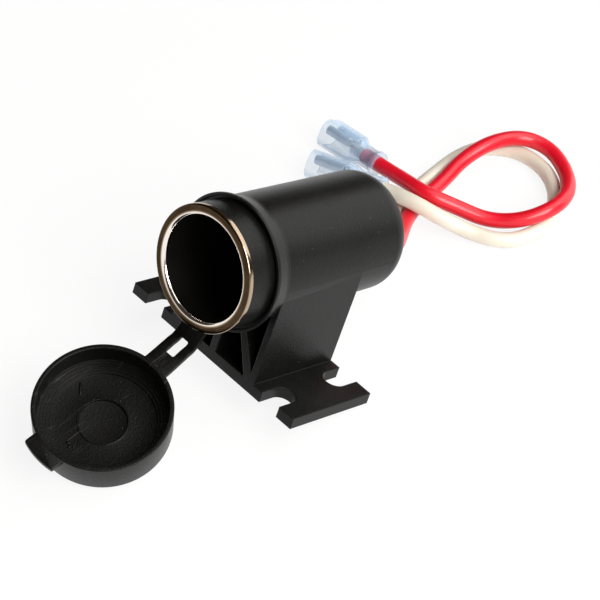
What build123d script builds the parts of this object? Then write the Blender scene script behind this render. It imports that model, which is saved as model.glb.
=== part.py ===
import os
from math import cos, radians, sin, tan

from build123d import *

# 12 V accessory socket: a moulded housing with a stand and foot, a drawn metal shell
# with a rolled rim, a tethered cap and two leads with push-on connectors.
# Origin: middle of the foot's underside. +Z up, the socket's mouth faces -Y.

# Foot plate and its open screw notches
foot_len = 22.6
foot_th = 2.5
core_w = 30.2
notch_w = 5.0
notch_depth = 6.4
bar_w = 4.2

# Socket axis: height over the underside, and how far the mouth stands before the foot
axis_h = 24.65
mouth_reach = 11.0

# Metal shell
bore_d = 21.0
bore_end = 35.0
shell_step = 0.6
shell_wall = 0.6
shell_len = 40.5
rim_d = 25.5
rim_th = 0.6
rim_round = 0.45
mouth_round = 0.8
rear_hole_d = 8.0

# Housing barrel
barrel_d = 25.4
barrel_draft = 0.37
end_round = 5.0
end_wall = 2.2
lip_y = 6.45
groove_clear = 0.6
lip_wall = 0.6
lip_land = 0.7
flare_len = 3.3
groove_depth = 0.75
seat_clear = 0.05
chamber_d = 18.6
chamber_len = 5.2
chamber_round = 3.4

# Stand under the barrel
stand_wall = 1.5
stand_inset = 0.22
rib_th = 1.8
brace_th = 1.6
brace_top = 3.6
back_web = 1.8

# Retaining ring of the cap, behind the rim
ring_clear = 0.05
ring_proud = -0.05

# Cap, drawn hanging open as the strap leaves it
cap_d = 27.65
cap_wall = 0.85
cap_h = 7.73
cap_floor = 1.39
cap_draft = 0.1
cap_edge = 0.7
cap_lead = 0.3
cap_lead_h = 0.8
cap_close_y = 3.0
cap_sag = 0.08
tab_w = 8.2
tab_out = 2.65
tab_th = 1.2
tab_round = 0.5
disc_d = 9.58
disc_depth = 0.35
ridge_count = 4
ridge_in = 0.6
ridge_up = 0.4

# Line the cap turns about, and how far it has turned from closed
hinge_y = 1.657
hinge_drop = 6.393
hinge_way = (0.9938, 0.0959, -0.0571)
cap_open = 118.778

# Strap between ring and cap: its bend is given back and up from the hinge line
strap_w = 6.1
strap_th = 0.8
strap_shift = -0.27
strap_slope = 58.0
strap_root_y = 4.95
strap_bend = [(0.363, 2.288), (-1.207, 1.018), (-2.537, -0.032)]
ring_root = 1.3
cap_root = 0.8
slot_w = 2.1
slot_len = 4.4

# Centre contact at the rear of the shell
insulator_d = 10.4
insulator_th = 1.5
contact_d = 7.6
contact_th = 0.9
contact_dome = 0.7
washer_d = 6.2
washer_th = 1.2
rivet_d = 3.0
rivet_head_d = 4.6
rivet_head_th = 0.8
fit_gap = 0.05

# Tags at the rear of the shell
tag_th = 0.8
tag_w = 3.2
ground_x = 6.4
ground_drop = 3.0
ground_rivet_d = 2.0
ground_head_d = 3.0
ground_head_th = 0.5

# Leads
wire_d = 3.45
core_d = 1.8
wire_pitch = 4.0
exit_drop = 4.65
exit_clear = 0.25
core_len = 1.4

# Push-on connectors
sleeve_len = 17.8
collar_d = 5.6
collar_len = 0.9
grip_d = 5.0
grip_len = 4.7
sleeve_taper = 2.6
sleeve_w = 7.4
sleeve_t = 6.6
sleeve_round = 2.4
sleeve_wall = 0.5
strip_depth = 4.4
crimp_len = 4.6
crimp_wall = 0.35
core_short = 0.9
neck_w = 2.0
neck_len = 1.4
tongue_gap = 0.35
tongue_len = 7.2
tongue_w = 6.0
tongue_t = 2.2
tongue_off = 1.25
metal_t = 0.4
tab_slot_w = 5.0
tab_slot_t = 0.9

# Lead routes: points in order from the housing to the connector
red_route = [
    (1.27, 34.22, 18.12), (-1.77, 40.96, 16.08), (-5.59, 47.44, 14.88), (-9.49, 53.86, 15.57),
    (-12.12, 60.65, 17.91), (-13.35, 67.33, 21.25), (-13.29, 74.04, 24.86), (-12.30, 80.87, 28.34),
    (-8.10, 87.51, 30.00), (-0.01, 87.61, 29.22), (6.74, 83.96, 28.32), (11.03, 77.64, 26.95),
    (11.25, 69.88, 24.91), (5.85, 65.72, 20.75), (-0.73, 62.23, 19.24), (-6.62, 57.34, 20.36),
    (-13.98, 54.97, 20.33), (-21.55, 55.84, 19.42),
]
white_route = [
    (-3.38, 34.15, 17.65), (-6.67, 41.02, 15.72), (-10.43, 47.83, 14.96), (-13.91, 54.76, 15.88),
    (-16.03, 61.92, 18.29), (-17.13, 69.18, 20.87), (-18.08, 76.79, 23.12), (-13.70, 83.26, 25.19),
    (-6.08, 85.70, 26.00), (1.80, 84.68, 25.74), (8.16, 80.15, 24.23), (11.58, 73.32, 22.00),
    (11.38, 65.68, 19.44), (5.87, 60.07, 17.85), (-0.64, 55.79, 18.01), (-6.80, 50.94, 20.05),
    (-14.59, 50.83, 18.60),
]
red_plug_dir = (-0.996, 0.005, -0.084)
white_plug_dir = (-0.956, -0.221, -0.195)
plug_lead = 2.2
plug_up = (-0.17, 0.43, 0.88)

# Derived places
mouth_y = -foot_len / 2 - mouth_reach
bore_r = bore_d / 2
shell_r = bore_r + shell_wall
rim_r = rim_d / 2
barrel_r = barrel_d / 2
cap_r = cap_d / 2
cap_in_r = cap_r - cap_wall
foot_w = core_w + 2 * (notch_w + bar_w)
shell_rear = mouth_y + shell_len
groove_floor = lip_y + groove_depth
ring_r = rim_r + ring_proud
groove_r = ring_r + groove_clear
lip_r = groove_r + lip_wall
ring_end = groove_floor - seat_clear
chamber_end = shell_len + chamber_len
barrel_end = chamber_end + end_wall
exit_z = axis_h - exit_drop
wire_r = wire_d / 2
hinge_z = axis_h - cap_r - hinge_drop
wire_start = shell_rear + washer_th + 2 * tag_th + core_len / 2

socket_plane = Plane((0, mouth_y, axis_h))
socket_axis = Axis((0, mouth_y, axis_h), (0, 1, 0))
hinge_axis = Axis((0, mouth_y + hinge_y, hinge_z), hinge_way)


def outline(points, rounds=()):
    face = make_face(Polyline(*points, close=True))
    for place, radius in rounds:
        corner = face.vertices().sort_by_distance((place[0], place[1], 0))[0]
        face = fillet([corner], radius)
    return face


def turned(points, rounds=()):
    return revolve(socket_plane * outline(points, rounds), socket_axis)


def rod(radius, y0, y1, x=0.0, z=0.0):
    start = Plane((x, y0, axis_h + z), x_dir=(1, 0, 0), z_dir=(0, 1, 0))
    return start * extrude(Circle(radius), y1 - y0)


def across(face, width):
    return extrude(Plane.YZ * face, width / 2, both=True)


def upright(face, y0, y1):
    start = Plane((0, y0, 0), x_dir=(1, 0, 0), z_dir=(0, -1, 0))
    return extrude(start * face, y0 - y1)


def make_foot():
    plate = Pos(0, 0, foot_th / 2) * Box(foot_w, foot_len, foot_th)
    notch_x = core_w / 2 + notch_w / 2
    straight = notch_depth - notch_w / 2
    for sx in (-1, 1):
        for sy in (-1, 1):
            inner_y = sy * (foot_len / 2 - straight)
            cut = Pos(sx * notch_x, inner_y, 0) * extrude(Circle(notch_w / 2), foot_th)
            cut += Pos(sx * notch_x, inner_y + sy * straight, foot_th / 2) * Box(
                notch_w, 2 * straight, foot_th
            )
            plate -= cut
    return plate


def make_stand():
    half = barrel_r - stand_inset
    height = axis_h - foot_th
    block = Pos(0, 0, foot_th + height / 2) * Box(2 * half, foot_len, height)
    inside = half - stand_wall
    deep = foot_len - back_web
    hollow = Pos(0, -back_web / 2, foot_th + height / 2) * Box(2 * inside, deep, height)
    rib = Pos(0, 0, foot_th + height / 2) * Box(rib_th, foot_len, height)
    brace = make_face(
        Polyline(
            (inside, foot_th),
            (inside, foot_th + brace_th),
            (brace_top + brace_th, axis_h - barrel_r + 1.5),
            (brace_top, axis_h - barrel_r + 1.5),
            (inside - brace_th, foot_th),
            close=True,
        )
    )
    right = upright(brace, -foot_len / 2, foot_len / 2)
    return block - hollow + rib + right + mirror(right, Plane.YZ)


def make_housing():
    top = barrel_r - barrel_draft
    flare_end = lip_y + lip_land + flare_len
    outer = turned(
        [
            (0, lip_y),
            (lip_r, lip_y),
            (lip_r, lip_y + lip_land),
            (barrel_r, flare_end),
            (top, barrel_end),
            (0, barrel_end),
        ],
        [
            ((lip_r, lip_y + lip_land), 1.2),
            ((barrel_r, flare_end), 5.0),
            ((top, barrel_end), end_round),
        ],
    )
    seat_r = shell_r + seat_clear
    chamber_r = chamber_d / 2
    seat_end = shell_len + seat_clear
    cavity = turned(
        [
            (0, lip_y - foot_len),
            (groove_r, lip_y - foot_len),
            (groove_r, groove_floor),
            (seat_r, groove_floor),
            (seat_r, seat_end),
            (chamber_r, seat_end),
            (chamber_r, chamber_end),
            (0, chamber_end),
        ],
        [((chamber_r, chamber_end), chamber_round)],
    )
    exit_face = Pos(0, exit_z) * SlotCenterToCenter(wire_pitch, wire_d + 2 * exit_clear)
    exit_cut = upright(exit_face, mouth_y + chamber_end - 1, mouth_y + barrel_end + 1)
    return make_foot() + make_stand() + outer - cavity - exit_cut


def make_shell():
    rear_r = shell_r - shell_step
    face = outline(
        [
            (bore_r, 0),
            (rim_r, 0),
            (rim_r, rim_th),
            (shell_r, rim_th),
            (shell_r, bore_end),
            (rear_r, bore_end + shell_step),
            (rear_r, shell_len),
            (rear_hole_d / 2, shell_len),
            (rear_hole_d / 2, shell_len - shell_wall),
            (rear_r - shell_wall, shell_len - shell_wall),
            (rear_r - shell_wall, bore_end + shell_step),
            (bore_r, bore_end),
        ],
        [((bore_r, 0), mouth_round), ((rim_r, 0), rim_round), ((rear_r, shell_len), shell_wall)],
    )
    shell = revolve(socket_plane * face, socket_axis)
    hole_r = ground_rivet_d / 2 + fit_gap
    hole = rod(hole_r, shell_rear - 2 * shell_wall, shell_rear + 1, -ground_x, -ground_drop)
    return shell - hole


def strap_way():
    return Vector(0, -cos(radians(strap_slope)), -sin(radians(strap_slope)))


def ring_root_end():
    start = Vector(strap_shift, mouth_y + strap_root_y, axis_h - ring_r)
    return start + strap_way() * ring_root


def cap_root_end():
    low = axis_h - cap_sag - cap_r - cap_root
    closed = Vertex(strap_shift, mouth_y + cap_close_y - strap_th / 2, low)
    return closed.rotate(hinge_axis, cap_open).center()


def make_ring():
    start = rim_th + seat_clear
    ring_in = shell_r + ring_clear
    ring = turned(
        [(ring_in, start), (ring_r, start), (ring_r, ring_end), (ring_in, ring_end)],
        [((ring_r, ring_end), 0.35)],
    )
    way = strap_way()
    side = Vector(0, -way.Z, way.Y) * (strap_th / 2)
    tip = ring_root_end()
    inner = tip - way * (ring_root + 0.8 * (ring_r - ring_in))
    corners = [inner + side, tip + side, tip - side, inner - side]
    root = across(make_face(Polyline(*[(c.Y, c.Z) for c in corners], close=True)), strap_w)
    root = Pos(strap_shift, 0, 0) * root
    inside = rod(ring_in, mouth_y - foot_len, mouth_y + ring_end + foot_len)
    return ring + (root - inside)


def make_strap():
    hinge = hinge_axis.position
    bend = [Vector(strap_shift, hinge.Y + y, hinge.Z + z) for y, z in strap_bend]
    cap_side = Vector(1, 0, 0).rotate(hinge_axis, cap_open)
    cap_way = Vector(0, 0, 1).rotate(hinge_axis, cap_open)
    path = Spline(ring_root_end(), *bend, cap_root_end(), tangents=(strap_way(), cap_way))
    sections = []
    steps = 6
    for i in range(steps + 1):
        t = i / steps
        run = path % t
        side = Vector(1, 0, 0) * (1 - t) + cap_side * t
        flat = Plane(path @ t, x_dir=side - run * run.dot(side), z_dir=run)
        sections.append(flat * Rectangle(strap_w, strap_th))
    band = loft(sections)
    chord = (bend[2] - bend[0]).normalized()
    slot_plane = Plane(bend[1], x_dir=chord, z_dir=Vector(0, -chord.Z, chord.Y))
    slot = extrude(slot_plane * Rectangle(slot_len, slot_w), 2 * strap_th, both=True)
    return band - slot


def make_cap():
    centre = Plane((0, mouth_y + cap_close_y, axis_h - cap_sag))
    deep = cap_floor - cap_h
    ridge_y = deep + ridge_count * ridge_up
    inner = [(cap_in_r + cap_lead, 0), (cap_in_r, -cap_lead_h), (cap_in_r, ridge_y)]
    for i in range(ridge_count):
        r = cap_in_r - (i + 1) * ridge_in
        inner += [(r, ridge_y - i * ridge_up), (r, ridge_y - (i + 1) * ridge_up)]
    points = [(cap_r, 0)] + inner + [(disc_d / 2, deep), (disc_d / 2, deep - disc_depth)]
    points += [(0, deep - disc_depth), (0, -cap_h), (cap_r - cap_draft, -cap_h)]
    face = outline(points, [((cap_r - cap_draft, -cap_h), cap_edge)])
    cup = revolve(centre * face, Axis(centre.origin, (0, 1, 0)))
    front = mouth_y + cap_close_y
    middle_z = axis_h - cap_sag
    tab = Pos(0, middle_z + cap_r) * Rectangle(tab_w, 2 * tab_out + cap_wall)
    tab &= Pos(0, middle_z) * Circle(cap_r + tab_out)
    tab = fillet(tab.vertices().group_by(Axis.Y)[-1], tab_round)
    root = Pos(strap_shift, middle_z - cap_r - cap_root / 2 + cap_wall / 2) * Rectangle(
        strap_w, cap_root + cap_wall
    )
    lugs = upright(tab, front - tab_th, front) + upright(root, front - strap_th, front)
    hollow = Plane((0, front - cap_h, middle_z), x_dir=(1, 0, 0), z_dir=(0, 1, 0))
    lugs -= hollow * extrude(Circle(cap_in_r + cap_lead), 2 * cap_h)
    return (cup + lugs).rotate(hinge_axis, cap_open)


def make_contact_parts():
    floor = shell_rear - shell_wall
    hole = rivet_d / 2 + fit_gap
    back = shell_rear + washer_th
    insulator = rod(insulator_d / 2, floor - insulator_th, floor)
    insulator += rod(rear_hole_d / 2 - fit_gap, floor, shell_rear)
    insulator -= rod(hole, floor - insulator_th, shell_rear)
    face = shell_len - shell_wall - insulator_th
    step = face - contact_th
    crown = step - contact_dome
    contact_r = contact_d / 2
    head_r = rivet_head_d / 2
    contact = turned(
        [
            (hole, face),
            (contact_r, face),
            (contact_r, step),
            (contact_r - contact_dome / 2, step),
            (head_r + contact_dome / 2, crown),
            (hole, crown),
        ]
    )
    washer = rod(washer_d / 2, shell_rear, back) - rod(hole, shell_rear, back)
    tag_back = shell_len + washer_th + tag_th
    rivet = turned(
        [
            (0, crown - rivet_head_th),
            (rivet_d / 2, crown - rivet_head_th),
            (head_r, crown),
            (rivet_d / 2, crown),
            (rivet_d / 2, tag_back),
            (head_r, tag_back),
            (head_r, tag_back + rivet_head_th),
            (0, tag_back + rivet_head_th),
        ]
    )
    return insulator, contact, washer, rivet


def tag(hole_x, hole_z, hole_r, end_x, y0):
    head = Pos(hole_x, axis_h + hole_z) * Circle(tag_w / 2 + 0.4)
    end = Pos(end_x, exit_z) * Circle(tag_w / 2)
    arm = make_hull(head.edges() + end.edges())
    arm -= Pos(hole_x, axis_h + hole_z) * Circle(hole_r)
    arm -= Pos(end_x, exit_z) * Circle(core_d / 2 + fit_gap)
    return upright(arm, y0, y0 + tag_th)


def make_wire(points):
    legs = [Vector(*b) - Vector(*a) for a, b in zip(points, points[1:])]
    radii = []
    for u, v in zip(legs, legs[1:]):
        half = radians(u.get_angle(v)) / 2
        radii.append(0.45 * min(u.length, v.length) / tan(half))
    path = FilletPolyline(*points, radius=radii)
    section = Plane(points[0], z_dir=legs[0]) * Circle(wire_r)
    return sweep(section, path=path), path, radii


def plug_plane(last, way):
    axis = Vector(*way).normalized()
    side = Vector(*plug_up).cross(axis).normalized()
    return Plane(Vector(*last) + axis * plug_lead, x_dir=side, z_dir=axis)


def make_plug(place):
    grip_end = collar_len + grip_len
    tip_start = grip_end + sleeve_taper
    tip = RectangleRounded(sleeve_w, sleeve_t, sleeve_round)
    inner = RectangleRounded(
        sleeve_w - 2 * sleeve_wall, sleeve_t - 2 * sleeve_wall, sleeve_round - sleeve_wall
    )
    wire_hole = Circle(wire_r + fit_gap)
    sleeve = extrude(Circle(collar_d / 2), collar_len)
    sleeve += Pos(0, 0, collar_len) * extrude(Circle(grip_d / 2), grip_len)
    sleeve += loft([Pos(0, 0, grip_end) * Circle(grip_d / 2), Pos(0, 0, tip_start) * tip])
    sleeve += Pos(0, 0, tip_start) * extrude(tip, sleeve_len - tip_start)
    sleeve -= extrude(wire_hole, grip_end)
    sleeve -= loft([Pos(0, 0, grip_end) * wire_hole, Pos(0, 0, tip_start) * inner])
    sleeve -= Pos(0, 0, tip_start) * extrude(inner, sleeve_len)
    crimp_r = core_d / 2 + fit_gap + crimp_wall
    crimp_start = strip_depth + fit_gap
    crimp_end = crimp_start + crimp_len
    terminal = Pos(0, 0, crimp_start) * extrude(Circle(crimp_r), crimp_len)
    terminal -= Pos(0, 0, crimp_start) * extrude(Circle(core_d / 2 + fit_gap), crimp_len)
    tongue_start = crimp_end + tongue_gap
    base_y = tongue_off - tongue_t / 2
    base = Pos(0, base_y + metal_t / 2) * Rectangle(tongue_w - tongue_t, metal_t)
    for s in (-1, 1):
        curl = Circle(tongue_t / 2) - Circle(tongue_t / 2 - metal_t)
        base += Pos(s * (tongue_w - tongue_t) / 2, tongue_off) * curl
    base -= Pos(0, base_y + metal_t + tab_slot_t / 2) * Rectangle(tab_slot_w, tab_slot_t)
    terminal += Pos(0, 0, tongue_start) * extrude(base, tongue_len)
    neck_z = tongue_start + tongue_gap - neck_len / 2
    terminal += Pos(0, base_y + metal_t / 2, neck_z) * Box(neck_w, metal_t, neck_len)
    core = Pos(0, 0, strip_depth) * extrude(Circle(core_d / 2), crimp_len - core_short)
    return place * sleeve, place * terminal, place * core


nodes = {}
nodes["housing"] = make_housing()
nodes["socket_shell"] = make_shell()
nodes["cap_ring"] = make_ring()
nodes["cap_strap"] = make_strap()
nodes["cap"] = make_cap()
insulator, contact, washer, rivet = make_contact_parts()
nodes["contact_insulator"] = insulator
nodes["centre_contact"] = contact
nodes["rear_washer"] = washer
nodes["contact_rivet"] = rivet
nodes["centre_tag"] = tag(0, 0, rivet_d / 2 + fit_gap, wire_pitch / 2, shell_rear + washer_th)
ground_y = shell_rear
ground_hole = ground_rivet_d / 2 + fit_gap
nodes["shell_tag"] = tag(-ground_x, -ground_drop, ground_hole, -wire_pitch / 2, ground_y)
ground_front = shell_rear - shell_wall
ground_back = ground_y + tag_th
ground_rivet = rod(ground_rivet_d / 2, ground_front, ground_back)
ground_rivet += rod(ground_head_d / 2, ground_front - ground_head_th, ground_front)
ground_rivet += rod(ground_head_d / 2, ground_back, ground_back + ground_head_th)
nodes["shell_rivet"] = Pos(-ground_x, 0, -ground_drop) * ground_rivet

for name, side, route, way in (
    ("red", 1, red_route, red_plug_dir),
    ("white", -1, white_route, white_plug_dir),
):
    start = (side * wire_pitch / 2, wire_start, exit_z)
    second = (side * wire_pitch / 2, wire_start + 5.2, exit_z)
    place = plug_plane(route[-1], way)
    tail = place.origin + place.z_dir * strip_depth
    wire, path, radii = make_wire([start, second] + route + [tuple(tail)])
    nodes[name + "_wire"] = wire
    print(name, "lead length %.1f" % path.length, "radii", [round(r, 1) for r in radii])
    print("volume %.1f, section by length %.1f" % (wire.volume, 3.14159 * wire_r**2 * path.length))
    tag_front = shell_rear + (washer_th if side > 0 else 0)
    nodes[name + "_core"] = rod(
        core_d / 2, tag_front, wire_start, side * wire_pitch / 2, -exit_drop
    )
    sleeve, terminal, core = make_plug(place)
    nodes[name + "_sleeve"] = sleeve
    nodes[name + "_terminal"] = terminal
    nodes[name + "_plug_core"] = core

os.makedirs("parts", exist_ok=True)
for name, solid in nodes.items():
    export_step(solid, os.path.join("parts", name + ".step"))
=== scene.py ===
import math
import random

import bmesh
import bpy
from mathutils import Matrix, Vector
from mathutils.geometry import interpolate_bezier


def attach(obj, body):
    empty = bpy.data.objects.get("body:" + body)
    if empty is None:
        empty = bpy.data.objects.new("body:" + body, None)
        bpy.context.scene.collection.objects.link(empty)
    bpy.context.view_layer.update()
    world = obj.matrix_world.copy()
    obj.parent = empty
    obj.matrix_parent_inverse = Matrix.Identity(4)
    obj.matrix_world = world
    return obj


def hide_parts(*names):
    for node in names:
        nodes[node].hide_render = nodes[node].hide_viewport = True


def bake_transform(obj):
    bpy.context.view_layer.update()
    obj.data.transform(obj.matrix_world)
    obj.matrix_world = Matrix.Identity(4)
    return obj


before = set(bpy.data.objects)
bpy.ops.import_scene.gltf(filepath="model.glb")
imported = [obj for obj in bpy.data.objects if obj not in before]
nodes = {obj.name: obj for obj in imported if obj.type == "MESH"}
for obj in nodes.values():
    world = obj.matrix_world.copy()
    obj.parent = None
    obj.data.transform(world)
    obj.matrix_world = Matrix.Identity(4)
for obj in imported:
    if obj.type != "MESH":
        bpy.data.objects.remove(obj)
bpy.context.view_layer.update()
mm = 0.001
print("frame loaded,", len(nodes), "nodes")

# camera: matched to the photograph; the mouth plane is 22.3 mm in front of the origin
shot = {
    "azimuth": 0.62028,
    "elevation": 0.53278,
    "roll": 0.34282,
    "slide": (-24.091, -15.270),
    "distance": 470.118,
    "focal": 2382.04,
    "centre": (291.562, 293.478),
    "mouth": -22.3,
    "frame": 600.0,
    "sensor": 36.0,
}


def placeCamera(s):
    az, el, roll = s["azimuth"], s["elevation"], s["roll"]
    back = Vector((math.sin(az) * math.cos(el), -math.cos(az) * math.cos(el), math.sin(el)))
    level = Vector((math.cos(az), math.sin(az), 0))
    rise = back.cross(level)
    right = math.cos(roll) * level + math.sin(roll) * rise
    up = math.cos(roll) * rise - math.sin(roll) * level
    place = back * s["distance"] - right * s["slide"][0] - up * s["slide"][1]
    place += Vector((0, s["mouth"], 0))
    data = bpy.data.cameras.new("camera")
    data.sensor_width = s["sensor"]
    data.sensor_fit = "HORIZONTAL"
    data.lens = s["focal"] * s["sensor"] / s["frame"]
    data.shift_x = (s["frame"] / 2 - s["centre"][0]) / s["frame"]
    data.shift_y = (s["centre"][1] - s["frame"] / 2) / s["frame"]
    data.clip_start = 0.01
    camera = bpy.data.objects.new("camera", data)
    turn = Matrix((right, up, back)).transposed().to_4x4()
    camera.matrix_world = Matrix.Translation(place * mm) @ turn
    bpy.context.scene.collection.objects.link(camera)
    bpy.context.scene.camera = camera


placeCamera(shot)
print("camera placed")


# one socket of a material, so that maths on it reads as maths
class Sock:
    def __init__(self, finish, socket):
        self.finish = finish
        self.socket = socket

    def math(self, operation, first, second=None):
        values = {0: first} if second is None else {0: first, 1: second}
        return self.finish.add("ShaderNodeMath", {"operation": operation}, values)["Value"]

    def __add__(self, other):
        return self.math("ADD", self, other)

    def __radd__(self, other):
        return self.math("ADD", other, self)

    def __sub__(self, other):
        return self.math("SUBTRACT", self, other)

    def __rsub__(self, other):
        return self.math("SUBTRACT", other, self)

    def __mul__(self, other):
        return self.math("MULTIPLY", self, other)

    def __pow__(self, other):
        return self.math("POWER", self, other)

    def __lt__(self, other):
        return self.math("LESS_THAN", self, other)

    def least(self, other):
        return self.math("MINIMUM", self, other)

    def ease(self, low, high):
        settings = {"interpolation_type": "SMOOTHSTEP"}
        values = {"Value": self, "From Min": low, "From Max": high}
        return self.finish.add("ShaderNodeMapRange", settings, values)["Result"]


class Outs:
    def __init__(self, finish, node):
        self.finish = finish
        self.node = node

    def __getitem__(self, name):
        return Sock(self.finish, self.node.outputs[name])


# a material (or the world) and its nodes
class Finish:
    def __init__(self, name, owner=None):
        self.owner = owner or bpy.data.materials.new(name)
        self.owner.use_nodes = True
        self.tree = self.owner.node_tree
        self.tree.nodes.clear()

    def add(self, kind, settings=None, values=None):
        node = self.tree.nodes.new(kind)
        for key, value in (settings or {}).items():
            setattr(node, key, value)
        for key, value in (values or {}).items():
            if isinstance(value, Sock):
                self.tree.links.new(value.socket, node.inputs[key])
            elif isinstance(value, tuple) and len(value) == 3 and node.inputs[key].type == "RGBA":
                node.inputs[key].default_value = (*value, 1)
            else:
                node.inputs[key].default_value = value
        return Outs(self, node)

    def where(self):
        return self.add("ShaderNodeTexCoord")["Object"]

    def place(self, scale, turn=(0, 0, 0)):
        values = {"Vector": self.where(), "Scale": scale, "Rotation": turn}
        return self.add("ShaderNodeMapping", {}, values)["Vector"]

    def noise(self, scale, detail=2.0, rough=0.5, where=None):
        values = {"Scale": scale, "Detail": detail, "Roughness": rough}
        values["Vector"] = where or self.where()
        return self.add("ShaderNodeTexNoise", {}, values)["Fac"]

    # the colour result is the Mix node's third output
    def mix(self, factor, first, second):
        return self.add("ShaderNodeMix", {"data_type": "RGBA"}, {0: factor, 6: first, 7: second})[2]

    # small grains, each in a cell of its own; only a share of the cells has one
    def specks(self, cells, size, share):
        cell = self.add("ShaderNodeTexVoronoi", {}, {"Vector": self.where(), "Scale": cells})
        pick = self.add("ShaderNodeSeparateColor", {}, {"Color": cell["Color"]})["Red"]
        return (1 - cell["Distance"].ease(size * 0.6, size)) * (pick < share)

    def bump(self, height, strength, distance, edge=0.0):
        values = {"Height": height, "Strength": strength, "Distance": distance}
        if edge:
            rounded = self.add("ShaderNodeBevel", {"samples": 6}, {"Radius": edge})
            values["Normal"] = rounded["Normal"]
        return self.add("ShaderNodeBump", {}, values)["Normal"]

    def end(self, shader, kind="ShaderNodeOutputMaterial"):
        self.add(kind, {}, {"Surface": shader})
        return self.owner

    def principled(self, **values):
        named = {key.replace("_", " "): value for key, value in values.items()}
        return self.end(self.add("ShaderNodeBsdfPrincipled", {}, named)["BSDF"])


# black moulded plastic: soft cloudy shine, fine grain, a little dust
mouldedLook = {
    "dark": (0.0022, 0.0023, 0.0020),
    "pale": (0.0044, 0.0045, 0.0040),
    "dust": (0.20, 0.20, 0.19),
    "dustCells": 900.0,
    "dustSize": 0.10,
    "dustShare": 0.22,
    "rough": 0.33,
    "spread": 0.18,
    "specular": 0.25,
    "cloud": (75.0, 4.0, 0.6),
    "grain": (2400.0, 2.0, 0.6),
    "grainDepth": 0.00011,
    "edge": 0.00030,
    "scratch": 0.0,
    "scratchScale": (2200, 110, 110),
    "scratchTurn": (0, 0, 0.7),
}


def plasticFinish(name, look):
    f = Finish(name)
    cloud = f.noise(*look["cloud"])
    grain = f.noise(*look["grain"])
    dust = f.specks(look["dustCells"], look["dustSize"], look["dustShare"])
    lines = f.place(look["scratchScale"], look["scratchTurn"])
    streak = f.noise(1.0, 3.0, 0.6, lines).ease(0.60, 0.74)
    streak = streak * f.noise(130.0, 2.0).ease(0.45, 0.65) * look["scratch"]
    base = f.mix((cloud * 0.6 + grain * 0.4).ease(0.40, 0.62), look["dark"], look["pale"])
    base = f.mix((dust * 0.30 + streak * 0.24).least(1.0), base, look["dust"])
    rough = look["rough"] + (cloud - 0.5) * look["spread"] + dust * 0.2 + streak * 0.1
    height = grain + cloud * 0.5 + dust
    normal = f.bump(height, 0.5, look["grainDepth"], look["edge"])
    return f.principled(
        Base_Color=base, Roughness=rough, Normal=normal, IOR=1.47,
        Specular_IOR_Level=look["specular"],
    )


housingFinish = plasticFinish("satinBlackPlastic", mouldedLook)
ringFinish = plasticFinish("ringBlackPlastic", dict(mouldedLook, rough=0.36))
capFinish = plasticFinish(
    "flexibleBlackPlastic",
    dict(mouldedLook, rough=0.34, scratch=1.0, edge=0.0, dustShare=0.24),
)


# plated rim: bright plating at the inner edge; the slope, the face and the outer edge get darker
# warm base colours, a painted reflection of dim warm surroundings, so the face reads dark between
# two bright edges
rimPaintedReflectionLook = {
    "axisHeight": 24.65,
    # face, slope and outer are painted reflection tints; edge is the plating's own colour
    "face": (0.042, 0.025, 0.011),
    "slope": (0.25, 0.17, 0.105),
    "edge": (0.92, 0.86, 0.80),
    "outer": (0.52, 0.40, 0.29),
    "slopeFrom": 11.25,
    "faceFrom": 11.50,
    "faceTo": 12.78,
    "soft": 0.12,
    "rough": 0.08,
}


def rimPaintedReflectionFinish(look):
    f = Finish("platingPaintedReflection")
    at = f.add("ShaderNodeSeparateXYZ", {}, {0: f.where()})
    up = at["Z"] - look["axisHeight"] * mm
    radius = (at["X"] * at["X"] + up * up) ** 0.5
    rise = [radius.ease((look[key] - look["soft"]) * mm, (look[key] + look["soft"]) * mm)
            for key in ("slopeFrom", "faceFrom", "faceTo")]
    haze = f.noise(240.0, 4.0, 0.6)
    face = rise[1] * (1 - rise[2])
    # painted reflection: by radius, the plating's colour is darkened to warm browns on the slope,
    # the face and the outer edge
    base = f.mix(rise[0], look["edge"], look["slope"])
    base = f.mix((rise[1] * (0.7 + haze * 0.5)).least(1.0), base, look["face"])
    base = f.mix(rise[2], base, look["outer"])
    rough = look["rough"] + haze * 0.08 + face * 0.06
    normal = f.bump(f.noise(1500.0, 2.0), 0.08, 0.00002)
    return f.principled(Base_Color=base, Metallic=1.0, Roughness=rough, Normal=normal)


def boreFinish():
    f = Finish("darkBore")
    cloud = f.noise(180.0, 3.0)
    base = f.mix(cloud, (0.0022, 0.0021, 0.0016), (0.0042, 0.0040, 0.0032))
    normal = f.bump(cloud, 0.1, 0.00003)
    return f.principled(
        Base_Color=base, Roughness=0.5 + cloud * 0.1, Normal=normal, Specular_IOR_Level=0.12
    )


platingPaintedReflectionFinish = rimPaintedReflectionFinish(rimPaintedReflectionLook)
boreBlack = boreFinish()


def coverFinish(name, pale, deep, rough):
    f = Finish(name)
    cloud = f.noise(160.0, 3.0)
    base = f.mix(cloud.ease(0.3, 0.7), deep, pale)
    shine = rough + f.noise(420.0, 3.0) * 0.10
    normal = f.bump(f.noise(900.0, 2.0), 0.12, 0.00003)
    return f.principled(
        Base_Color=base, Roughness=shine, Normal=normal, Coat_Weight=0.2, Coat_Roughness=0.12,
        Subsurface_Weight=0.08, Subsurface_Radius=(0.0008, 0.0006, 0.0005),
    )


redFinish = coverFinish("redCover", (0.74, 0.006, 0.024), (0.66, 0.004, 0.018), 0.28)
whiteFinish = coverFinish("whiteCover", (0.76, 0.72, 0.62), (0.70, 0.65, 0.54), 0.30)


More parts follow.
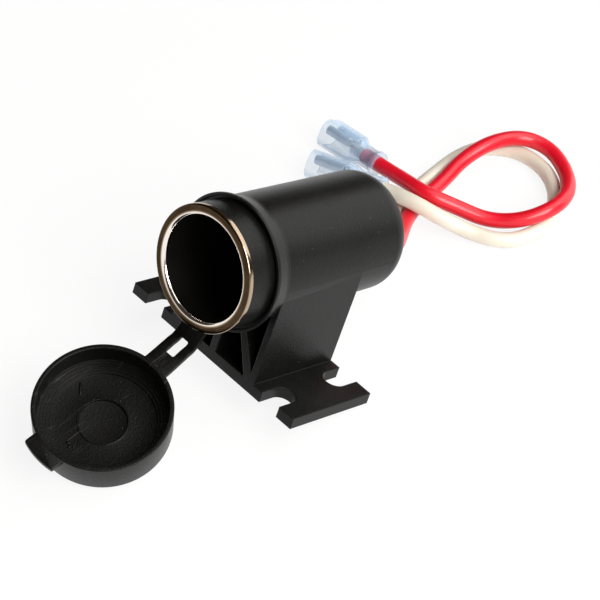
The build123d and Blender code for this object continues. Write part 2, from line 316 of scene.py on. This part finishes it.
def metalFinish(name, pale, deep, rough, metallic=1.0):
    f = Finish(name)
    cloud = f.noise(300.0, 4.0, 0.6)
    base = f.mix(cloud.ease(0.3, 0.75), pale, deep)
    brush = f.noise(1.0, 2.0, 0.5, f.place((300, 4000, 4000)))
    normal = f.bump(brush, 0.1, 0.00003)
    return f.principled(
        Base_Color=base, Metallic=metallic, Roughness=rough + cloud * 0.14, Normal=normal
    )


steelFinish = metalFinish("tinnedSteel", (0.74, 0.76, 0.78), (0.58, 0.60, 0.63), 0.34, 0.7)
brassFinish = metalFinish("contactBrass", (0.78, 0.58, 0.28), (0.60, 0.42, 0.19), 0.28)
copperFinish = metalFinish("bareCopper", (0.82, 0.47, 0.30), (0.66, 0.34, 0.20), 0.30)


def fibreFinish():
    f = Finish("pressedFibre")
    cloud = f.noise(500.0, 4.0, 0.7)
    base = f.mix(cloud, (0.16, 0.08, 0.05), (0.25, 0.14, 0.09))
    normal = f.bump(f.noise(2200.0, 3.0), 0.3, 0.00004)
    return f.principled(Base_Color=base, Roughness=0.6 + cloud * 0.2, Normal=normal)


fibre = fibreFinish()

# see-through connector cover: clear where faced squarely, bluer at its edges
sleeveLook = {
    "pale": (0.52, 0.70, 0.90),
    "deep": (0.36, 0.57, 0.82),
    "clear": 0.12,
    "edge": 0.50,
    "rough": 0.14,
}


def sleeveFinish(look):
    f = Finish("seeThroughBlue")
    cloud = f.noise(240.0, 3.0)
    facing = f.add("ShaderNodeLayerWeight", {}, {"Blend": 0.45})["Facing"]
    base = f.mix(cloud, look["deep"], look["pale"])
    normal = f.bump(f.noise(700.0, 2.0), 0.15, 0.00004)
    return f.principled(
        Base_Color=base, Roughness=look["rough"] + cloud * 0.10, Normal=normal,
        Alpha=look["clear"] + facing * look["edge"], Coat_Weight=0.3, IOR=1.45,
    )


sleeveBlue = sleeveFinish(sleeveLook)
print("finishes made")

finishOf = {
    "housing": housingFinish,
    "socket_shell": platingPaintedReflectionFinish,
    "cap_ring": ringFinish,
    "cap_strap": capFinish,
    "cap": capFinish,
    "contact_insulator": fibre,
    "rear_washer": fibre,
    "centre_contact": brassFinish,
    "contact_rivet": brassFinish,
    "centre_tag": brassFinish,
    "shell_tag": brassFinish,
    "shell_rivet": steelFinish,
    "red_core": copperFinish,
    "white_core": copperFinish,
    "red_plug_core": copperFinish,
    "white_plug_core": copperFinish,
    "red_terminal": steelFinish,
    "white_terminal": steelFinish,
    "red_sleeve": sleeveBlue,
    "white_sleeve": sleeveBlue,
    "red_wire": redFinish,
    "white_wire": whiteFinish,
}
for name, finish in finishOf.items():
    nodes[name].data.materials.clear()
    nodes[name].data.materials.append(finish)


def keepPiece(name, bm, finishes, replaced, body=None):
    mesh = bpy.data.meshes.new(name)
    bm.to_mesh(mesh)
    bm.free()
    for finish in finishes:
        mesh.materials.append(finish)
    mesh.shade_smooth()
    mesh.set_sharp_from_angle(angle=math.radians(35))
    piece = bpy.data.objects.new(name, mesh)
    bpy.context.scene.collection.objects.link(piece)
    if body:
        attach(piece, body)
    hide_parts(replaced)
    return piece


# leads: the route's points are the spline's control points
leads = {
    "diameter": 3.45,
    "order": 3,
    "steps": 10,
    "roundness": 7,
    "red": {
        "exit": (2.0, 21.7, 20.0),
        "length": 0.1504,
        "points": [
            (2.00, 21.70, 20.00), (2.00, 26.00, 20.20), (1.97, 32.74, 18.56),
            (-0.96, 39.54, 16.41), (-5.06, 45.64, 15.09), (-9.09, 51.62, 15.46),
            (-10.88, 57.88, 18.07), (-12.36, 65.18, 20.30), (-13.61, 71.23, 24.00),
            (-12.43, 77.78, 28.21), (-10.26, 86.21, 29.54), (-4.00, 89.27, 29.48),
            (3.70, 86.22, 28.67), (9.28, 81.02, 27.94), (11.65, 73.80, 26.69),
            (8.77, 67.67, 22.73), (3.07, 63.67, 19.88), (-2.78, 59.27, 20.54),
            (-8.30, 54.31, 21.45), (-14.70, 55.05, 20.55), (-21.00, 55.80, 19.47),
            (-28.12, 55.87, 18.86),
        ],
    },
    "white": {
        "exit": (-2.0, 21.7, 20.0),
        "length": 0.1446,
        "points": [
            (-2.00, 21.70, 20.00), (-2.00, 26.00, 20.20), (-2.51, 32.94, 19.08),
            (-6.05, 39.26, 15.57), (-9.83, 45.70, 14.36), (-13.12, 52.86, 15.27),
            (-14.85, 59.89, 17.45), (-15.95, 67.03, 19.80), (-16.92, 74.11, 22.17),
            (-15.92, 81.24, 24.24), (-9.93, 85.83, 25.98), (-2.24, 86.30, 26.21),
            (4.84, 83.01, 25.21), (9.70, 77.34, 23.29), (11.80, 70.13, 20.77),
            (9.59, 62.98, 18.58), (2.73, 59.02, 17.55), (-3.11, 53.47, 19.30),
            (-9.20, 50.90, 19.90), (-14.90, 50.75, 18.55), (-20.90, 49.37, 17.31),
        ],
    },
}


# copies of the red connector's solids, rolled about the lead and shortened along it
redPlug = {
    "entry": (-23.741, 55.851, 19.235),
    "way": (-0.9964, 0.0050, -0.0840),
    "roll": -15.0,
    "share": 0.88,
}


def layPlug(name, facts):
    way = Vector(facts["way"]).normalized()
    entry = Vector(facts["entry"]) * mm
    roll = Matrix.Rotation(math.radians(facts["roll"]), 4, way)
    shrink = Matrix.Scale(facts["share"], 4, way)
    place = Matrix.Translation(entry) @ roll @ shrink @ Matrix.Translation(-entry)
    laid = []
    for part, slot in (("sleeve", "blue_sleeve"), ("terminal", "steel"), ("plug_core", "copper")):
        node = name + "_" + part
        bm = bmesh.new()
        bm.from_mesh(nodes[node].data)
        bmesh.ops.remove_doubles(bm, verts=bm.verts, dist=1e-6)
        bmesh.ops.transform(bm, matrix=place, verts=bm.verts)
        laid.append(keepPiece(node + "Laid", bm, [finishOf[node]], node, "socket"))
    return laid


def makeLead(name, facts, finish, onIt):
    curve = bpy.data.curves.new(name + "Lead", "CURVE")
    curve.dimensions = "3D"
    spline = curve.splines.new("NURBS")
    spline.points.add(len(facts["points"]) - 1)
    for point, place in zip(spline.points, facts["points"]):
        point.co = (*(Vector(place) * mm), 1)
    spline.order_u = leads["order"]
    spline.use_endpoint_u = True
    curve.resolution_u = leads["steps"]
    curve.bevel_depth = leads["diameter"] / 2 * mm
    curve.bevel_resolution = leads["roundness"]
    curve.use_fill_caps = True
    piece = bpy.data.objects.new(name + "Lead", curve)
    curve.materials.append(finish)
    bpy.context.scene.collection.objects.link(piece)
    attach(piece, "socket")
    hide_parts(name + "_wire")


makeLead("red", leads["red"], redFinish, layPlug("red", redPlug))
whitePlug = [nodes["white_sleeve"], nodes["white_terminal"], nodes["white_plug_core"]]
makeLead("white", leads["white"], whiteFinish, whitePlug)
print("leads laid")


# spins one closed section of (radius, height, rounding) corners about Z, then places it
def lathe(bm, outline, place, steps):
    corners = [bm.verts.new((r * mm, 0, h * mm)) for r, h, rounding in outline]
    bm.faces.new(corners)
    for corner, (r, h, rounding) in zip(corners, outline):
        if rounding:
            bmesh.ops.bevel(
                bm, geom=[corner], offset=rounding * mm, offset_type="OFFSET",
                affect="VERTICES", segments=5, profile=0.5, material=-1,
            )
    bmesh.ops.delete(bm, geom=bm.faces[:], context="FACES_ONLY")
    onAxis = [e for e in bm.edges if max(abs(v.co.x) for v in e.verts) < 1e-7]
    bmesh.ops.delete(bm, geom=onAxis, context="EDGES")
    bmesh.ops.spin(
        bm, geom=bm.verts[:] + bm.edges[:], cent=(0, 0, 0), axis=(0, 0, 1), dvec=(0, 0, 0),
        angle=math.tau, steps=steps, use_merge=True,
    )
    bmesh.ops.remove_doubles(bm, verts=bm.verts, dist=1e-6)
    bmesh.ops.recalc_face_normals(bm, faces=bm.faces)
    bmesh.ops.transform(bm, matrix=place, verts=bm.verts)


# socket shell: heights run inwards from the mouth plane
shellFacts = {
    "mouth": (0, -22.3, 24.65),
    "outline": [
        (12.86, 0.60, 0), (12.86, -0.45, 0.45), (10.50, -0.45, 0.95), (10.50, 35.00, 0),
        (9.90, 35.60, 0), (9.90, 39.90, 0), (4.00, 39.90, 0), (4.00, 40.50, 0),
        (10.50, 40.50, 0), (10.50, 35.60, 0), (11.10, 35.00, 0), (11.10, 0.60, 0),
    ],
    "brightTo": 1.1,
    "steps": 220,
}


def makeShell(facts):
    bm = bmesh.new()
    place = Matrix.Translation(Vector(facts["mouth"]) * mm) @ Matrix.Rotation(-math.pi / 2, 4, "X")
    lathe(bm, facts["outline"], place, facts["steps"])
    for face in bm.faces:
        deep = face.calc_center_median().y / mm - facts["mouth"][1]
        face.material_index = 1 if deep > facts["brightTo"] else 0
    finishes = [platingPaintedReflectionFinish, boreBlack]
    keepPiece("mouthShell", bm, finishes, "socket_shell", "socket")


makeShell(shellFacts)
print("shell turned")

# cap: x across, y towards the strap, z out of the cap's open side
capFacts = {
    "middle": (0.257, -38.975, -4.007),
    "across": (0.9815, 0.0911, -0.1681),
    "toStrap": (0.0, 0.8791, 0.4766),
    "out": (0.1912, -0.4678, 0.8629),
    "outline": [
        (0, -7.73, 0), (13.80, -7.73, 0.7), (13.91, 0, 0.18), (12.975, 0, 0.15),
        (12.975, -4.74, 0.10), (12.375, -4.74, 0.12), (12.375, -5.14, 0.08), (11.775, -5.14, 0.12),
        (11.775, -5.54, 0.08), (11.175, -5.54, 0.12), (11.175, -5.94, 0.08), (10.575, -5.94, 0.12),
        (10.575, -6.34, 0.10), (5.20, -6.34, 0.05), (5.08, -6.20, 0.05), (4.86, -6.20, 0.05),
        (4.74, -6.69, 0.06), (0, -6.69, 0),
    ],
    "steps": 200,
    "tabReach": 16.475,
    "tabWidth": 8.2,
    "tabRoot": 13.1,
    "tabTop": -0.02,
    "tabThick": 1.2,
    "tabCorner": 0.6,
    "tabCornerFrom": -15.5,
    "tabEdge": 0.22,
    "floor": -6.34,
    "flaws": [
        {"at": (-8.5, 1.3), "size": (1.50, 0.38, 0.26), "turn": -37.6},
        {"at": (-0.9, -8.1), "size": (0.50, 0.36, 0.20), "turn": 20.0},
        {"at": (-0.1, -8.4), "size": (0.42, 0.30, 0.24), "turn": -40.0},
        {"at": (0.4, -7.8), "size": (0.34, 0.26, 0.16), "turn": 70.0},
    ],
    "ragged": {
        "radius": 5.02, "from": 52.0, "to": 208.0, "count": 22, "seed": 7, "wander": (-0.12, 0.20),
        "long": (0.30, 0.70), "wide": (0.08, 0.16), "high": (0.18, 0.30), "skew": (-25, 25),
    },
}


def capPlace(facts):
    turn = Matrix((facts["across"], facts["toStrap"], facts["out"])).transposed().to_4x4()
    return Matrix.Translation(Vector(facts["middle"]) * mm) @ turn


def cutAway(bm, point, way):
    everything = bm.verts[:] + bm.edges[:] + bm.faces[:]
    bmesh.ops.bisect_plane(
        bm, geom=everything, dist=1e-7, plane_co=Vector(point) * mm, plane_no=way, clear_outer=True
    )


def softenEdges(bm, size, angle=35.0, segments=3):
    sharp = [e for e in bm.edges if e.is_manifold and e.calc_face_angle() > math.radians(angle)]
    bmesh.ops.bevel(
        bm, geom=sharp, offset=size * mm, affect="EDGES", segments=segments, profile=0.5,
        material=-1, clamp_overlap=True,
    )


def makeTab(facts):
    bm = bmesh.new()
    bmesh.ops.create_circle(bm, cap_ends=True, segments=240, radius=facts["tabReach"] * mm)
    half = facts["tabWidth"] / 2
    cutAway(bm, (half, 0, 0), (1, 0, 0))
    cutAway(bm, (-half, 0, 0), (-1, 0, 0))
    cutAway(bm, (0, -facts["tabRoot"], 0), (0, 1, 0))
    ends = [
        v for v in bm.verts
        if abs(v.co.x) > (half - 0.01) * mm and v.co.y < facts["tabCornerFrom"] * mm
    ]
    bmesh.ops.bevel(
        bm, geom=ends, offset=facts["tabCorner"] * mm, affect="VERTICES", segments=5, profile=0.5,
        material=-1,
    )
    bmesh.ops.translate(bm, verts=bm.verts, vec=(0, 0, facts["tabTop"] * mm))
    raised = bmesh.ops.extrude_face_region(bm, geom=bm.faces[:])["geom"]
    lower = [v for v in raised if isinstance(v, bmesh.types.BMVert)]
    bmesh.ops.translate(bm, verts=lower, vec=(0, 0, -facts["tabThick"] * mm))
    bmesh.ops.recalc_face_normals(bm, faces=bm.faces)
    softenEdges(bm, facts["tabEdge"])
    return bm


# thin flakes along the upper edge of the centre disc
def raggedEdge(facts):
    draw = random.Random(facts["seed"])
    flakes = []
    for i in range(facts["count"]):
        angle = facts["from"] + (facts["to"] - facts["from"]) * (i + draw.random()) / facts["count"]
        radius = facts["radius"] + draw.uniform(*facts["wander"])
        at = (radius * math.cos(math.radians(angle)), radius * math.sin(math.radians(angle)))
        size = tuple(draw.uniform(*facts[key]) for key in ("long", "wide", "high"))
        flakes.append({"at": at, "size": size, "turn": angle + 90 + draw.uniform(*facts["skew"])})
    return flakes


def makeCap(facts):
    bm = bmesh.new()
    lathe(bm, facts["outline"], Matrix.Identity(4), facts["steps"])
    for flaw in facts["flaws"] + raggedEdge(facts["ragged"]):
        spot = Matrix.Translation(Vector((*flaw["at"], facts["floor"])) * mm)
        turn = Matrix.Rotation(math.radians(flaw["turn"]), 4, "Z")
        shape = Matrix.Diagonal((*(Vector(flaw["size"]) * mm), 1))
        bmesh.ops.create_icosphere(bm, subdivisions=2, radius=1.0, matrix=spot @ turn @ shape)
    tab = makeTab(facts)
    tabMesh = bpy.data.meshes.new("tab")
    tab.to_mesh(tabMesh)
    tab.free()
    bm.from_mesh(tabMesh)
    bpy.data.meshes.remove(tabMesh)
    bmesh.ops.transform(bm, matrix=capPlace(facts), verts=bm.verts)
    keepPiece("pushOnCap", bm, [capFinish], "cap", "cap")


makeCap(capFacts)
print("cap made")

# strap: a slotted band from the ring down to the cap, bent along a line and twisted to meet the cap
# as it lies
strapFacts = {
    "line": [
        (-0.270, -17.085, 12.274), (-0.270, -18.039, 10.748), (-0.270, -20.280, 6.720),
        (-0.270, -21.850, 5.450), (-0.270, -23.180, 4.400), (-0.085, -25.955, 2.663),
        (-0.030, -27.186, 1.996),
    ],
    "bendFrom": (-0.270, -18.039, 10.748),
    "bendTo": (-0.085, -25.955, 2.663),
    "slotPoint": 3,
    "width": 6.1,
    "thick": 0.84,
    "slot": (2.1, 4.4),
    "slotCorner": 0.35,
    "edge": 0.18,
    "cuts": 46,
    "perSpan": 13,
}


def smoothLine(points, perSpan):
    spots = [Vector(p) for p in points]
    ends = [2 * spots[0] - spots[1]] + spots + [2 * spots[-1] - spots[-2]]
    line = []
    for before, first, last, after in zip(ends, ends[1:], ends[2:], ends[3:]):
        leave, arrive = first + (last - before) / 6, last - (after - first) / 6
        span = interpolate_bezier(first, leave, arrive, last, perSpan)
        line += span if not line else span[1:]
    return line


def runLengths(line):
    lengths = [0.0]
    for first, last in zip(line, line[1:]):
        lengths.append(lengths[-1] + (last - first).length)
    return lengths


# flat band in the plane, x across and y along, with its slot and soft edges
def flatBand(facts, length, slotMiddle):
    bm = bmesh.new()
    bmesh.ops.create_grid(bm, x_segments=3, y_segments=3, size=0.5)
    across = [-facts["width"] / 2, -facts["slot"][0] / 2, facts["slot"][0] / 2, facts["width"] / 2]
    along = [0, slotMiddle - facts["slot"][1] / 2, slotMiddle + facts["slot"][1] / 2, length]
    for v in bm.verts:
        column, row = round((v.co.x + 0.5) * 3), round((v.co.y + 0.5) * 3)
        v.co.x, v.co.y = across[column] * mm, along[row] * mm
    spot = Vector((0, slotMiddle * mm, 0))
    middle = min(bm.faces, key=lambda face: (face.calc_center_median() - spot).length)
    rim = middle.verts[:]
    bmesh.ops.delete(bm, geom=[middle], context="FACES_ONLY")
    raised = bmesh.ops.extrude_face_region(bm, geom=bm.faces[:])["geom"]
    upper = [v for v in raised if isinstance(v, bmesh.types.BMVert)]
    bmesh.ops.translate(bm, verts=bm.verts, vec=(0, 0, -facts["thick"] / 2 * mm))
    bmesh.ops.translate(bm, verts=upper, vec=(0, 0, facts["thick"] * mm))
    bmesh.ops.recalc_face_normals(bm, faces=bm.faces)
    posts = [
        e for v in rim for e in v.link_edges
        if abs(e.verts[0].co.z - e.verts[1].co.z) > facts["thick"] / 2 * mm
    ]
    bmesh.ops.bevel(
        bm, geom=posts, offset=facts["slotCorner"] * mm, affect="EDGES", segments=5, profile=0.5,
        material=-1,
    )
    softenEdges(bm, facts["edge"])
    for i in range(1, facts["cuts"]):
        everything = bm.verts[:] + bm.edges[:] + bm.faces[:]
        cut = Vector((0, length * i / facts["cuts"] * mm, 0))
        bmesh.ops.bisect_plane(bm, geom=everything, dist=1e-7, plane_co=cut, plane_no=(0, 1, 0))
    return bm


def makeStrap(facts, cap):
    line = smoothLine(facts["line"], facts["perSpan"])
    lengths = runLengths(line)
    slotMiddle = lengths[facts["slotPoint"] * (facts["perSpan"] - 1)]
    bm = flatBand(facts, lengths[-1], slotMiddle)
    turned = Vector(cap["across"])
    for v in bm.verts:
        run = min(max(v.co.y / mm, 0.0), lengths[-1] - 1e-6)
        i = max(k for k in range(len(line) - 1) if lengths[k] <= run)
        share = (run - lengths[i]) / (lengths[i + 1] - lengths[i])
        ahead = line[min(i + 2, len(line) - 1)] - line[i + 1]
        behind = line[i] - line[max(i - 1, 0)]
        middle = line[i + 1] - line[i]
        way = (behind.lerp(middle, 0.5 + share / 2) + middle.lerp(ahead, share / 2)).normalized()
        side = Vector((1, 0, 0)).lerp(turned, run / lengths[-1])
        side = (side - way * side.dot(way)).normalized()
        spot = line[i].lerp(line[i + 1], share) * mm
        v.co = spot + side * v.co.x + side.cross(way) * v.co.z
    bmesh.ops.recalc_face_normals(bm, faces=bm.faces)
    strap = keepPiece("capStrap", bm, [capFinish], "cap_strap")
    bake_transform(strap)


makeStrap(strapFacts, capFacts)
print("strap bent")

# stage: the foot stands tipped forward in the photograph, so the floor slopes under it
floorFacts = {
    "slope": 0.325,
    "foot": 11.3,
    "under": -0.1,
    "size": 0.9,
    "white": (0.90, 0.90, 0.90),
    "glow": 0.88,
}


def seenBackground(f):
    path = f.add("ShaderNodeLightPath")
    return (path["Is Camera Ray"] + path["Is Glossy Ray"] + path["Is Transmission Ray"]).least(1.0)


def floorFinish(look):
    f = Finish("paleFloor")
    under = f.add("ShaderNodeNewGeometry")["Backfacing"]
    lit = f.add("ShaderNodeBsdfDiffuse", {}, {"Color": look["white"]})["BSDF"]
    glow = f.add("ShaderNodeEmission", {}, {"Color": (1.0, 1.0, 1.0), "Strength": 1.0})["Emission"]
    share = seenBackground(f) * look["glow"]
    shown = f.add("ShaderNodeMixShader", {}, {0: share, 1: lit, 2: glow})["Shader"]
    clear = f.add("ShaderNodeBsdfTransparent")["BSDF"]
    return f.end(f.add("ShaderNodeMixShader", {}, {0: under, 1: shown, 2: clear})["Shader"])


def makeFloor(facts):
    mesh = bpy.data.meshes.new("floor")
    bm = bmesh.new()
    bmesh.ops.create_grid(bm, x_segments=1, y_segments=1, size=facts["size"])
    bmesh.ops.rotate(bm, verts=bm.verts, matrix=Matrix.Rotation(math.atan(facts["slope"]), 3, "X"))
    bmesh.ops.translate(bm, verts=bm.verts, vec=Vector((0, facts["foot"], facts["under"])) * mm)
    bm.to_mesh(mesh)
    bm.free()
    floor = bpy.data.objects.new("floor", mesh)
    mesh.materials.append(floorFinish(facts))
    bpy.context.scene.collection.objects.link(floor)


makeFloor(floorFacts)

# light: one broad soft lamp behind, a key from the right front, a weak one above
lightFacts = {
    "back": {"at": (0.12, 0.62, 0.58), "size": 0.80, "watts": 3.4, "tint": (1.0, 1.0, 0.98)},
    "key": {"at": (0.50, -0.15, 0.45), "size": 0.45, "watts": 5.5, "tint": (1.0, 0.98, 0.96)},
    "top": {"at": (0.25, 0.05, 0.90), "size": 0.80, "watts": 3.6, "tint": (1.0, 1.0, 1.0)},
}


lightAim = (0, 0.01, 0.015)


def makeLights(facts):
    for name, one in facts.items():
        data = bpy.data.lights.new(name, "AREA")
        data.shape = "SQUARE"
        data.size = one["size"]
        data.energy = one["watts"]
        data.color = one["tint"]
        lamp = bpy.data.objects.new(name, data)
        aim = Vector(lightAim) - Vector(one["at"])
        turn = aim.to_track_quat("-Z", "Y").to_matrix().to_4x4()
        lamp.matrix_world = Matrix.Translation(one["at"]) @ turn
        bpy.context.scene.collection.objects.link(lamp)


makeLights(lightFacts)

# room: white below the horizon and low on the right, dim and warm elsewhere
roomFacts = {
    "low": (1.0, 1.0, 1.0),
    "high": (0.045, 0.036, 0.028),
    "rise": (0.02, 0.32),
    "across": (-0.45, 0.45),
    "horizon": (-0.03, 0.03),
}


def makeRoom(facts):
    world = bpy.data.worlds.new("room")
    bpy.context.scene.world = world
    f = Finish("room", world)
    coord = f.add("ShaderNodeTexCoord")["Generated"]
    way = f.add("ShaderNodeSeparateXYZ", {}, {0: coord})
    bright = (1 - way["Z"].ease(*facts["rise"])) * way["X"].ease(*facts["across"])
    above = way["Z"].ease(*facts["horizon"])
    colour = f.mix(above * (1 - bright), facts["low"], facts["high"])
    shade = f.add("ShaderNodeBackground", {}, {"Color": colour, "Strength": 1.0})["Background"]
    f.end(shade, "ShaderNodeOutputWorld")


makeRoom(roomFacts)
bpy.context.scene.view_settings.view_transform = "Standard"
print("stage and light set")
